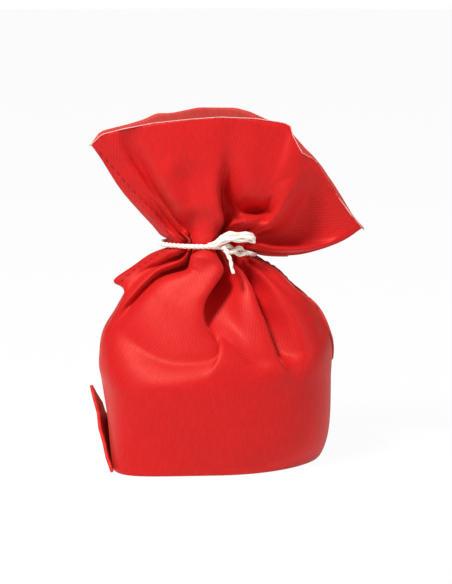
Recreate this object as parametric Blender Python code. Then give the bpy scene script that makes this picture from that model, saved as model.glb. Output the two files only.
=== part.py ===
"""A small satin pouch, filled, gathered and tied round its neck with cotton twine.

The pouch is one sewn piece of cloth that the tie keeps shut, so it is one solid: the
filled body on its boxed base, the gathered neck, and the ruffle of spare cloth that
fans out above the tie round its open mouth. The twine is the second piece.

Metres, +Z up, the front towards -Y, the origin in the middle of the flat underside.
Angles go round the pouch as seen from above: 0 is the right side (+X), 90 the back,
180 the left side and 270 the front.
"""

import math
from collections import namedtuple

import bmesh
import bpy
from mathutils import Vector

MM = 0.001

# The filled body
BODY_WIDTH = 72.0 * MM
BODY_DEPTH = 56.0 * MM
WIDEST_HEIGHT = 27.0 * MM     # where the filling pushes the sides out most
BASE_INSET = 4.0 * MM         # how far the sides draw in from there down to the base
BASE_ROUND = 3.0 * MM         # rounding between the sides and the flat underside
BODY_SQUARENESS = 2.3         # power of the section's superellipse, with 200 mm of cloth round it
SHOULDER_FULLNESS = 2.3       # 1 makes the shoulders a cone, more makes them rounder

# The twine
TWINE_DIAMETER = 1.5 * MM
TWINE_GAP = 0.3 * MM          # clearance to the gathered cloth
KNOT_ANGLE = 302.0            # the knot sits at the front, right of the middle
KNOT_HALF_LENGTH = 3.4 * MM
KNOT_STRAND_GAP = 0.35 * MM   # clearance between the two strands that twist
TWINE_POINTS = 78

# The neck that the twine pulls together
NECK_HEIGHT = 65.5 * MM
NECK_WIDTH = 26.0 * MM
NECK_DEPTH = 13.0 * MM
GROOVE_CLEARANCE = 0.65 * MM  # room over and under the twine in its groove
NECK_GROOVE = TWINE_DIAMETER + 2 * GROOVE_CLEARANCE
NECK_SHIFT = -1.8 * MM        # the neck stands a little left of the body's middle
NECK_SAG = 3.3 * MM           # how much lower the tie lies at the right end of the neck

# The ruffle above the neck
RUFFLE_LENGTH = 39.0 * MM     # cloth above the tie, from the neck to the cut rim
FAN_LEFT = 133.0              # directions of the two side seams in the XZ plane
FAN_RIGHT = 4.5
FAN_SPREAD_AT_RIM = 0.6       # share of the neck's own width still in the rim's place
MOUTH_DEPTH = 17.0 * MM
MOUTH_FULLNESS = 0.75         # power of the mouth's lens shape, less is blunter
CLOTH_WALL = 1.2 * MM         # the satin and its turned edge, thick enough for a solid
CUP_DEPTH = 31.0 * MM         # how far down the mouth stays open inside
SEAM_SHARE = 0.045            # share of the width at each seam where the walls are one

# The boxed corner that stands out low on the left
EAR_ANGLE = 192.0
EAR_HEIGHT = 27.0 * MM
EAR_STAND = 3.2 * MM
EAR_HALF_WIDTH = 9.0

# How finely the forms are divided
AROUND = 80
SHOULDER_ROWS = 11
SIDE_ROWS = 4
ROUND_ROWS = 3
RUFFLE_ROWS = 8
CUP_ROWS = 6

Fold = namedtuple("Fold", "at_neck at_end reach depth half_width")

# Valleys that run down from the neck over the shoulders, going round from the left
BODY_FOLDS = (
    Fold(at_neck=226, at_end=202, reach=26 * MM, depth=3.6 * MM, half_width=13),
    Fold(at_neck=296, at_end=279, reach=27 * MM, depth=5.2 * MM, half_width=15),
    Fold(at_neck=322, at_end=321, reach=40 * MM, depth=4.6 * MM, half_width=12),
    Fold(at_neck=350, at_end=346, reach=23 * MM, depth=2.4 * MM, half_width=9),
    Fold(at_neck=30, at_end=34, reach=29 * MM, depth=3.6 * MM, half_width=13),
    Fold(at_neck=66, at_end=64, reach=38 * MM, depth=4.4 * MM, half_width=14),
    Fold(at_neck=104, at_end=108, reach=24 * MM, depth=3.4 * MM, half_width=12),
    Fold(at_neck=146, at_end=150, reach=33 * MM, depth=4.0 * MM, half_width=13),
)

# Valleys that run up the ruffle from the neck
RUFFLE_FOLDS = (
    Fold(at_neck=214, at_end=206, reach=36 * MM, depth=3.4 * MM, half_width=11),
    Fold(at_neck=276, at_end=268, reach=25 * MM, depth=3.2 * MM, half_width=13),
    Fold(at_neck=318, at_end=326, reach=30 * MM, depth=2.6 * MM, half_width=14),
    Fold(at_neck=48, at_end=44, reach=33 * MM, depth=2.8 * MM, half_width=13),
    Fold(at_neck=92, at_end=96, reach=28 * MM, depth=3.0 * MM, half_width=14),
    Fold(at_neck=138, at_end=140, reach=34 * MM, depth=2.8 * MM, half_width=12),
)


def clear_scene():
    """Take every object out of the open scene."""
    for obj in list(bpy.data.objects):
        bpy.data.objects.remove(obj, do_unlink=True)


def make_material(name, color, roughness):
    """A plain Principled material with one colour."""
    material = bpy.data.materials.new(name)
    material.use_nodes = True
    shader = material.node_tree.nodes["Principled BSDF"]
    shader.inputs["Base Color"].default_value = (*color, 1.0)
    shader.inputs["Roughness"].default_value = roughness
    shader.inputs["Metallic"].default_value = 0.0
    return material


def blend(a, b, share):
    """The value a share of the way from a to b."""
    return a + (b - a) * share


def signed_power(value, power):
    """A power that keeps the sign of its value."""
    return math.copysign(abs(value) ** power, value)


def turn_between(angle, other):
    """The shorter turn from one angle to another, in degrees, without a sign."""
    return abs((angle - other + 180.0) % 360.0 - 180.0)


def fold_depth(folds, angle, distance):
    """How far the folds draw the cloth in, at an angle and a distance from the neck."""
    depth = 0.0
    for fold in folds:
        share = distance / fold.reach
        if share >= 1.0:
            continue
        centre = blend(fold.at_neck, fold.at_end, share)
        off = turn_between(angle, centre) / fold.half_width
        if off >= 1.0:
            continue
        along = math.sin(math.pi * share ** 0.7)
        across = math.cos(off * math.pi / 2) ** 2
        depth = max(depth, fold.depth * along * across)
    return depth


def ear_stand(angle, height):
    """How far the boxed corner stands out at an angle and a height."""
    off = turn_between(angle, EAR_ANGLE) / EAR_HALF_WIDTH
    share = height / EAR_HEIGHT
    if off >= 1.0 or share >= 1.0:
        return 0.0
    along = blend(0.3, 1.0, share) * (1.0 - share ** 6)
    return EAR_STAND * along * (1.0 - off)


def body_point(angle, height, squareness, half_width, half_depth, middle):
    """A point of the body's outline at one height, with the folds and the ear in it."""
    turn = math.radians(angle)
    x = half_width * signed_power(math.cos(turn), 2.0 / squareness)
    y = half_depth * signed_power(math.sin(turn), 2.0 / squareness)
    reach = math.hypot(x, y)
    below_neck = NECK_HEIGHT - NECK_GROOVE / 2 - height
    drawn = fold_depth(BODY_FOLDS, angle, max(below_neck, 0.0)) - ear_stand(angle, height)
    share = 1.0 - drawn / reach
    return Vector((middle + x * share, y * share, height))


def neck_sag(x):
    """How much lower the neck lies at a place across it: nothing left of its middle."""
    reach = (x - NECK_SHIFT) / (NECK_WIDTH / 2)
    return NECK_SAG * min(max(reach, 0.0), 1.0) ** 2


def side_row(height):
    """The row of the body at a height between the base's rounding and its widest."""
    share = 1.0 - height / WIDEST_HEIGHT
    inset = BASE_INSET * share ** 2
    half_width = BODY_WIDTH / 2 - inset
    half_depth = BODY_DEPTH / 2 - inset
    return lambda angle: body_point(angle, height, BODY_SQUARENESS, half_width, half_depth, 0.0)


def round_row(turn):
    """A row of the rounding under the sides, from 0 at the underside to 90 degrees."""
    rise = BASE_ROUND * (1.0 - math.cos(turn))
    inset = BASE_INSET + BASE_ROUND * (1.0 - math.sin(turn))
    half_width = BODY_WIDTH / 2 - inset
    half_depth = BODY_DEPTH / 2 - inset
    return lambda angle: body_point(angle, rise, BODY_SQUARENESS, half_width, half_depth, 0.0)


def shoulder_row(share):
    """A row of the shoulders, from 0 at the widest height to 1 under the neck."""
    out = 1.0 - share ** SHOULDER_FULLNESS
    height = blend(WIDEST_HEIGHT, NECK_HEIGHT - NECK_GROOVE / 2, share)
    squareness = blend(2.0, BODY_SQUARENESS, out)
    half_width = blend(NECK_WIDTH, BODY_WIDTH, out) / 2
    half_depth = blend(NECK_DEPTH, BODY_DEPTH, out) / 2
    middle = blend(NECK_SHIFT, 0.0, out)

    def place(angle):
        point = body_point(angle, height, squareness, half_width, half_depth, middle)
        point.z -= neck_sag(point.x) * share
        return point

    return place


def fan_place(across, distance, angle):
    """X and Z of the ruffle at a share of its width and a distance from the neck."""
    share = distance / RUFFLE_LENGTH
    kept = blend(1.0, FAN_SPREAD_AT_RIM, share)
    direction = math.radians(blend(FAN_LEFT, FAN_RIGHT, across))
    neck_x = NECK_WIDTH / 2 * math.cos(angle)
    sag = neck_sag(NECK_SHIFT + neck_x) * (1.0 - share)
    x = NECK_SHIFT + neck_x * kept + distance * math.cos(direction)
    z = NECK_HEIGHT + NECK_GROOVE / 2 - sag + distance * math.sin(direction)
    return x, z


def ruffle_row(distance, wall):
    """A row of the ruffle: its outside where wall is 0, and else its inside."""
    share = distance / RUFFLE_LENGTH
    half_depth = blend(NECK_DEPTH, MOUTH_DEPTH, share) / 2
    fullness = blend(1.0, MOUTH_FULLNESS, share)
    seam = SEAM_SHARE if wall else 0.0

    def place(angle):
        at_front = angle > 180.0
        across = (angle - 180.0) / 180.0 if at_front else 1.0 - angle / 180.0
        across = blend(seam, 1.0 - seam, across)
        turn = math.pi * (1.0 + across)
        x, z = fan_place(across, distance, turn)
        if angle in (0.0, 180.0):
            return Vector((x, 0.0, z))
        lens = abs(math.sin(turn)) ** fullness
        fold_angle = math.degrees(turn) if at_front else 180.0 * (1.0 - across)
        drawn = fold_depth(RUFFLE_FOLDS, fold_angle, distance) * lens
        y = half_depth * lens - drawn - wall
        return Vector((x, -y if at_front else y, z))

    return place


def pouch_rows():
    """Every row of the pouch, from the underside up to the rim and down inside."""
    rows = [round_row(math.pi / 2 * i / ROUND_ROWS) for i in range(ROUND_ROWS)]
    for i in range(SIDE_ROWS):
        rows.append(side_row(blend(BASE_ROUND, WIDEST_HEIGHT, i / SIDE_ROWS)))
    rows += [shoulder_row(i / SHOULDER_ROWS) for i in range(SHOULDER_ROWS + 1)]
    rows += [ruffle_row(RUFFLE_LENGTH * i / RUFFLE_ROWS, 0.0) for i in range(RUFFLE_ROWS + 1)]
    for i in range(CUP_ROWS + 1):
        rows.append(ruffle_row(RUFFLE_LENGTH - CUP_DEPTH * i / CUP_ROWS, CLOTH_WALL))
    return rows


def make_pouch():
    """Extrude one ring of cloth from row to row, and close it under and inside."""
    mesh = bmesh.new()
    place = mesh.verts.layers.int.new("place")
    rows = pouch_rows()
    ring = bmesh.ops.create_circle(mesh, segments=AROUND, radius=BODY_WIDTH / 2)["verts"]
    for i, vert in enumerate(ring):
        vert[place] = i
    edges = list(mesh.edges)
    bmesh.ops.edgeloop_fill(mesh, edges=edges)
    for number, row in enumerate(rows):
        if number:
            grown = bmesh.ops.extrude_edge_only(mesh, edges=edges)["geom"]
            ring = [item for item in grown if isinstance(item, bmesh.types.BMVert)]
            edges = [item for item in grown if isinstance(item, bmesh.types.BMEdge)]
        for vert in ring:
            vert.co = row(360.0 * vert[place] / AROUND)
    bmesh.ops.edgeloop_fill(mesh, edges=edges)
    bmesh.ops.recalc_face_normals(mesh, faces=mesh.faces)
    data = bpy.data.meshes.new("pouch")
    mesh.to_mesh(data)
    mesh.free()
    data.shade_smooth()
    data.set_sharp_from_angle(angle=math.radians(50))
    data.materials.append(make_material("red satin", (0.75, 0.02, 0.02), 0.45))
    pouch = bpy.data.objects.new("pouch", data)
    bpy.context.collection.objects.link(pouch)
    return pouch


def round_the_neck(angle):
    """The twine's middle line round the neck: the neck's ellipse, moved straight out."""
    turn = math.radians(angle)
    out = TWINE_GAP + TWINE_DIAMETER / 2
    across, deep = NECK_WIDTH / 2, NECK_DEPTH / 2
    normal = Vector((deep * math.cos(turn), across * math.sin(turn), 0.0)).normalized()
    x = NECK_SHIFT + across * math.cos(turn)
    on_neck = Vector((x, deep * math.sin(turn), NECK_HEIGHT - neck_sag(x)))
    return on_neck + normal * out


def knot_frame():
    """The knot's middle, and its directions along the twine, out of the neck and up."""
    at_loop = round_the_neck(KNOT_ANGLE)
    along = (round_the_neck(KNOT_ANGLE + 1) - round_the_neck(KNOT_ANGLE - 1)).normalized()
    out = along.cross(Vector((0.0, 0.0, 1.0)))
    strand_radius = (TWINE_DIAMETER + KNOT_STRAND_GAP) / 2
    middle = at_loop + out * (strand_radius + 2 * TWINE_GAP)
    return middle, along, out, strand_radius


def knot_strand(start_turn, forwards):
    """One of the knot's two strands: a full turn of a helix along the knot."""
    middle, along, out, radius = knot_frame()
    points = []
    steps = 8
    for i in range(steps + 1):
        share = i / steps
        turn = math.radians(start_turn + 360.0 * share)
        along_knot = blend(-KNOT_HALF_LENGTH, KNOT_HALF_LENGTH, share)
        round_knot = out * (radius * math.cos(turn)) + Vector((0, 0, radius * math.sin(turn)))
        points.append(middle + along * along_knot + round_knot)
    return points if forwards else points[::-1]


def tail(root, direction, drop, length):
    """Route points of a loose end, which leaves the knot and bends down by drop."""
    lengths = (0.35, 0.7, 1.0)
    down = Vector((0.0, 0.0, -drop))
    return [root + direction * (length * share) + down * share ** 2 for share in lengths]


def twine_route():
    """The twine's route: one end, the knot, once round the neck, the knot, the other end."""
    middle, along, out, radius = knot_frame()
    first = knot_strand(start_turn=180.0, forwards=True)
    second = knot_strand(start_turn=0.0, forwards=False)
    left_end = tail(second[-1], (out * 0.85 + along * 0.25).normalized(), 6.5 * MM, 5.0 * MM)
    right_end = tail(first[-1], (along * 0.75 + out * 0.65).normalized(), -1.0 * MM, 4.5 * MM)
    half_turn_of_knot = 24.0
    loop = []
    steps = 36
    for i in range(steps + 1):
        angle = blend(KNOT_ANGLE + half_turn_of_knot, KNOT_ANGLE + 360 - half_turn_of_knot, i / steps)
        loop.append(round_the_neck(angle))
    return left_end[::-1] + second[::-1] + loop + first + right_end


def smooth_line(route, count):
    """Points at even steps along a smooth curve through the route's points."""
    fine = []
    for i in range(len(route) - 1):
        before = route[max(i - 1, 0)]
        start, end = route[i], route[i + 1]
        after = route[min(i + 2, len(route) - 1)]
        for step in range(10):
            t = step / 10
            fine.append(0.5 * (2 * start + (end - before) * t
                               + (2 * before - 5 * start + 4 * end - after) * t ** 2
                               + (3 * start - before - 3 * end + after) * t ** 3))
    fine.append(route[-1])
    reached = [0.0]
    for a, b in zip(fine, fine[1:]):
        reached.append(reached[-1] + (b - a).length)
    points = []
    k = 0
    for i in range(count):
        wanted = reached[-1] * i / (count - 1)
        while k < len(fine) - 2 and reached[k + 1] < wanted:
            k += 1
        share = (wanted - reached[k]) / (reached[k + 1] - reached[k])
        points.append(fine[k].lerp(fine[k + 1], min(share, 1.0)))
    return points


def make_tie():
    """The twine as a round tube along its route."""
    curve = bpy.data.curves.new("tie_cord", "CURVE")
    curve.dimensions = "3D"
    curve.bevel_depth = TWINE_DIAMETER / 2
    curve.bevel_resolution = 2
    curve.use_fill_caps = True
    points = smooth_line(twine_route(), TWINE_POINTS)
    spline = curve.splines.new("POLY")
    spline.points.add(len(points) - 1)
    for spline_point, point in zip(spline.points, points):
        spline_point.co = (*point, 1.0)
    curve.materials.append(make_material("cotton twine", (0.85, 0.81, 0.72), 0.9))
    tie = bpy.data.objects.new("tie_cord", curve)
    bpy.context.collection.objects.link(tie)
    return tie


clear_scene()
make_pouch()
make_tie()
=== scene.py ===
# %% [markdown]
# # A tied favour pouch in red satin
#
# The real object is one strip of satin, folded at the bottom and sewn up both sides into a bag.
# It is filled, gathered by hand, and tied round the neck with cotton twine. Nothing about it is
# rigid, so the lesson is about cloth. The bag starts as a plain straight tube of the right size. Its
# rows are laid along fold lines, always with the same amount of cloth, and then a simulation lets
# them settle, so that the wrinkles are ones that real cloth could make.
#
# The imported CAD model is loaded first. It gives the frame that everything here is placed in.

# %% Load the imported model
import math

import bmesh
import bpy
import numpy as np
from mathutils import Matrix, Vector


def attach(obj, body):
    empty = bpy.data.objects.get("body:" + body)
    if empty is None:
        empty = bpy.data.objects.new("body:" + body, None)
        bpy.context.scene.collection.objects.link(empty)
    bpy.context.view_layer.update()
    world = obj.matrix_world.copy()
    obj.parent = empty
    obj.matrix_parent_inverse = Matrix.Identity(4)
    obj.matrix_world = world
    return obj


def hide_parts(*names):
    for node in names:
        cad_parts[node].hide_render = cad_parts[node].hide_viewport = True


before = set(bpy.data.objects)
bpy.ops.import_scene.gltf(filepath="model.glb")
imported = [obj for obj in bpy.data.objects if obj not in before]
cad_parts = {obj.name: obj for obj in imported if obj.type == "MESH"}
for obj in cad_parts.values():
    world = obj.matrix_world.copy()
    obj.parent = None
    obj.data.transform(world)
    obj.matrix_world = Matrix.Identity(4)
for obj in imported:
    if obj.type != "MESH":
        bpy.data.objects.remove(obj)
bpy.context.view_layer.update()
MM = 0.001


# %% [markdown]
# ## The camera
#
# The photograph was taken from the front, with the camera about 10 degrees above the object. Places
# on the cloth were read from it as millimetres across and up, as the camera sees them. One function
# turns such a reading, with a depth, into a place in space, and everything else uses that function.

# %% Camera
CAMERA_TILT = math.radians(10)
CAMERA_DISTANCE = 600 * MM
VIEW_HEIGHT = 175.2 * MM        # what the picture's height covers at the object
SENSOR = 36
SIGHT_CENTRE = Vector((3.6, 0, 50.6)) * MM

camera = bpy.data.objects.new("camera", bpy.data.cameras.new("camera"))
bpy.context.collection.objects.link(camera)
camera.data.sensor_width = SENSOR
camera.data.lens = SENSOR * CAMERA_DISTANCE / VIEW_HEIGHT
towards_camera = Vector((0, -math.cos(CAMERA_TILT), math.sin(CAMERA_TILT)))
camera.location = SIGHT_CENTRE + towards_camera * CAMERA_DISTANCE
camera.rotation_euler = (-towards_camera).to_track_quat("-Z", "Y").to_euler()
camera.data.clip_start, camera.data.clip_end = 0.01, 20
bpy.context.scene.camera = camera
print("lens:", round(camera.data.lens, 1), "mm")

NEAR_DEPTH = -22.5              # mm, the depth at which "up" is counted from the floor


def seen_at(across, up, depth):
    """The place in mm of a point that the camera sees at (across, up), at a depth along Y."""
    sink = (depth - NEAR_DEPTH) * math.sin(CAMERA_TILT)
    return np.array((across, depth, (up - sink) / math.cos(CAMERA_TILT)))


# %% [markdown]
# ## Colours and nodes
#
# Colours are written as the hex values that a paint program shows. Blender's sockets want linear
# light, so one function converts them. A second one adds a node with its settings and its links.

# %% Colour and node helpers
def colour(hex_value):
    """Linear RGBA from an sRGB hex string."""
    channels = [int(hex_value[i:i + 2], 16) / 255 for i in (1, 3, 5)]
    linear = [c / 12.92 if c <= 0.04045 else ((c + 0.055) / 1.055) ** 2.4 for c in channels]
    return (*linear, 1.0)


def add_node(material, kind, settings=None, **inputs):
    """Adds a node. An input is a value, or another node's output to link from."""
    tree = material.node_tree
    node = tree.nodes.new(kind)
    for name, value in (settings or {}).items():
        setattr(node, name, value)
    for name, value in inputs.items():
        key = int(name[1:]) if name[0] == "i" and name[1:].isdigit() else name.replace("_", " ")
        if isinstance(value, bpy.types.NodeSocket):
            tree.links.new(value, node.inputs[key])
        else:
            node.inputs[key].default_value = value
    return node


# %% [markdown]
# ## The twine's route
#
# The tie is one length of cotton twine: an end, a knot, once round the gathered neck, the knot again
# and the other end. The neck is an ellipse, so the loop is an ellipse moved out by half the twine.
# In the knot the two strands turn round each other, so each is a turn of a helix.

# %% Twine sizes and route
NECK_HEIGHT, NECK_SHIFT = 65.5 * MM, -1.8 * MM
NECK_WIDTH, NECK_DEPTH = 26 * MM, 13 * MM
TWINE_DIAMETER = 1.5 * MM
TWINE_GAP = 0.3 * MM            # between the twine and the cloth
NECK_SAG = 3.3 * MM             # how much lower the tie lies at the right end of the neck
KNOT_ANGLE = 302                # degrees, from the neck's right end by the back
KNOT_HALF_LENGTH = 3.4 * MM
KNOT_RADIUS = (TWINE_DIAMETER + 0.35 * MM) / 2
KNOT_HALF_TURN = 24             # degrees that the loop stops short of the knot, on each side


def round_the_neck(angle):
    """The twine's middle line round the neck: the neck's ellipse, moved straight out."""
    turn = math.radians(angle)
    across, deep = NECK_WIDTH / 2, NECK_DEPTH / 2
    outwards = Vector((deep * math.cos(turn), across * math.sin(turn), 0)).normalized()
    sag = NECK_SAG * max(math.cos(turn), 0) ** 2
    on_neck = Vector((NECK_SHIFT + across * math.cos(turn), deep * math.sin(turn), NECK_HEIGHT - sag))
    return on_neck + outwards * (TWINE_GAP + TWINE_DIAMETER / 2)


knot_along = (round_the_neck(KNOT_ANGLE + 1) - round_the_neck(KNOT_ANGLE - 1)).normalized()
knot_out = knot_along.cross(Vector((0, 0, 1)))
knot_middle = round_the_neck(KNOT_ANGLE) + knot_out * (KNOT_RADIUS + 2 * TWINE_GAP)


def knot_strand(start_turn):
    """One of the knot's two strands: a full turn of a helix along the knot."""
    points = []
    for share in np.linspace(0, 1, 9):
        turn = math.radians(start_turn + 360 * share)
        along = knot_along * (KNOT_HALF_LENGTH * (2 * share - 1))
        around = knot_out * math.cos(turn) + Vector((0, 0, math.sin(turn)))
        points.append(knot_middle + along + around * KNOT_RADIUS)
    return points


def loose_end(root, direction, drop, length):
    """Points of an end that leaves the knot and bends down by drop."""
    return [root + direction.normalized() * (length * share) - Vector((0, 0, drop * share ** 2))
            for share in (0.35, 0.7, 1.0)]


first_strand, second_strand = knot_strand(180), knot_strand(0)[::-1]
left_end = loose_end(second_strand[-1], knot_out * 0.85 + knot_along * 0.25, 6.5 * MM, 5 * MM)
right_end = loose_end(first_strand[-1], knot_along * 0.75 + knot_out * 0.65, -1 * MM, 4.5 * MM)
loop = [round_the_neck(angle)
        for angle in np.linspace(KNOT_ANGLE + KNOT_HALF_TURN, KNOT_ANGLE + 360 - KNOT_HALF_TURN, 37)]
twine_route = left_end[::-1] + second_strand[::-1] + loop + first_strand + right_end
twine_length = sum((b - a).length for a, b in zip(twine_route, twine_route[1:]))
print("twine:", len(twine_route), "points,", round(twine_length / MM, 1), "mm")


# %% [markdown]
# ## The bag before it is tied
#
# Flat, the bag is 100 mm wide, so it is 200 mm round. It starts as a straight tube of that size that
# stands on its filled bottom. A ring of points is placed on a rounded box, then extruded upwards a
# row at a time. Each point keeps its column and its row as integers, which is how later steps find a
# place on the cloth: millimetres round from the left seam by the front, and millimetres up.

# %% The straight tube
CLOTH_ROUND = 200.0             # mm, as all sizes of the cloth here
CLOTH_BELOW = 78.0              # cloth from the base's edge up to the tie
CLOTH_ABOVE = 40.0              # cloth from the tie up to the cut edge
ROW_STEP = 1.45
COLUMNS = 136
ROWS_BELOW = round(CLOTH_BELOW / ROW_STEP)
ROWS = ROWS_BELOW + round(CLOTH_ABOVE / ROW_STEP) + 1
BODY_SHIFT = 0.3                # mm to the right


def rounded_box(half_width, half_depth, left_square, right_square, yaw):
    """COLUMNS points at even steps round a rounded box, from the left seam by the front."""
    turn = np.linspace(math.pi, 3 * math.pi, 4001)
    cos, sin = np.cos(turn), np.sin(turn)
    power = 2 / np.where(cos < 0, left_square, right_square)
    x = half_width * np.sign(cos) * np.abs(cos) ** power
    y = half_depth * np.sign(sin) * np.abs(sin) ** power
    x, y = x * math.cos(yaw) - y * math.sin(yaw), x * math.sin(yaw) + y * math.cos(yaw)
    reached = np.concatenate([[0], np.cumsum(np.hypot(np.diff(x), np.diff(y)))])
    even = np.arange(COLUMNS) / COLUMNS * reached[-1]
    return np.stack([np.interp(even, reached, x), np.interp(even, reached, y)], axis=1), reached[-1]


tube_outline, outline_length = rounded_box(36.5, 27, 2.8, 2.2, math.radians(5))
tube_outline = tube_outline * (CLOTH_ROUND / outline_length) + (BODY_SHIFT, 0)

bm = bmesh.new()
column_of = bm.verts.layers.int.new("column")
row_of = bm.verts.layers.int.new("row")
ring = bmesh.ops.create_circle(bm, segments=COLUMNS, radius=1)["verts"]
bm.verts.ensure_lookup_table()
for column, vert in enumerate(bm.verts):
    vert.co = (*tube_outline[column], 0)
    vert[column_of] = column
top_edges = list(bm.edges)
for row in range(1, ROWS):
    made = bmesh.ops.extrude_edge_only(bm, edges=top_edges)["geom"]
    top_edges = [item for item in made if isinstance(item, bmesh.types.BMEdge)]
    for vert in [item for item in made if isinstance(item, bmesh.types.BMVert)]:
        vert.co.z = row * ROW_STEP
        vert[row_of] = row
bmesh.ops.recalc_face_normals(bm, faces=bm.faces)
pouch_mesh = bpy.data.meshes.new("satin_pouch")
bm.to_mesh(pouch_mesh)
bm.free()
print("straight tube:", len(pouch_mesh.vertices), "points,", ROWS, "rows")


# %% [markdown]
# ## Where the folds run
#
# The tie presses 200 mm of cloth into a ring of about 60 mm, so most of it goes inwards as tucks, and
# each tuck runs on as a valley below the tie and above it. A fold line is the crest of a fold or the
# floor of a valley, and goes from the filled body through the tied neck to the cut edge. Its places are
# millimetres across and up as the camera sees them, and how far the cloth is sunk from the plain form.
# A sunk place keeps its position in the picture, so a valley's floor can lie behind the fold over it.

# %% The plain forms that the folds are sunk into
BODY_PROFILE = np.array([       # height, half width, half depth (mm)
    (-2, 34, 25), (0, 35, 26), (5, 36, 27), (27, 36, 25.5), (35, 35.5, 22), (42, 33.5, 18.5),
    (50, 29.5, 15), (57, 23, 11), (61, 18, 9), (65.5, 12.8, 6.5), (70, 12.8, 6.5),
])
BODY_SQUARENESS = 2.3
NECK_CENTRE = (-1.8, 67.6)              # across and up
FAN_FROM, FAN_TO = 141, 4               # degrees of the side seams above the tie


def neck_height(x):
    """The tie's height in mm at a place across the neck: level on the left, lower on the right."""
    return (NECK_HEIGHT - NECK_SAG * np.clip((x * MM - NECK_SHIFT) / (NECK_WIDTH / 2), 0, 1) ** 2) / MM


def on_body(across, up, sink):
    """A place on the body's front as the camera sees it, pushed in by sink mm."""
    depth = -20.0
    for _ in range(8):          # the depth depends on the height, and the height on the depth
        x, _, z = seen_at(across, up, depth)
        half_width = np.interp(z, BODY_PROFILE[:, 0], BODY_PROFILE[:, 1])
        half_depth = np.interp(z, BODY_PROFILE[:, 0], BODY_PROFILE[:, 2])
        shift = np.interp(z, (40, 65), (BODY_SHIFT, NECK_CENTRE[0]))
        reach = min(abs(x - shift) / half_width, 0.999)
        depth = -half_depth * (1 - reach ** BODY_SQUARENESS) ** (1 / BODY_SQUARENESS)
    return seen_at(across, up, depth + sink)


def on_ruffle(across, up, sink):
    """A place on the ruffle's front, pushed in by sink mm."""
    away = np.array((across, up)) - NECK_CENTRE
    share = (FAN_FROM - math.degrees(math.atan2(away[1], away[0]))) / (FAN_FROM - FAN_TO)
    half_depth = 6.5 + min(np.hypot(*away) / 40, 1)
    return seen_at(across, up, sink - half_depth * math.sin(math.pi * min(max(share, 0.02), 0.98)) ** 0.7)


def at_neck(across, sink):
    """A place on the tied neck's front half, pushed in by sink mm."""
    reach = min(abs(across - NECK_CENTRE[0]) / 12.1, 1)
    return np.array((across, sink - 6.5 * math.sqrt(1 - reach ** 2), neck_height(across)))


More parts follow.
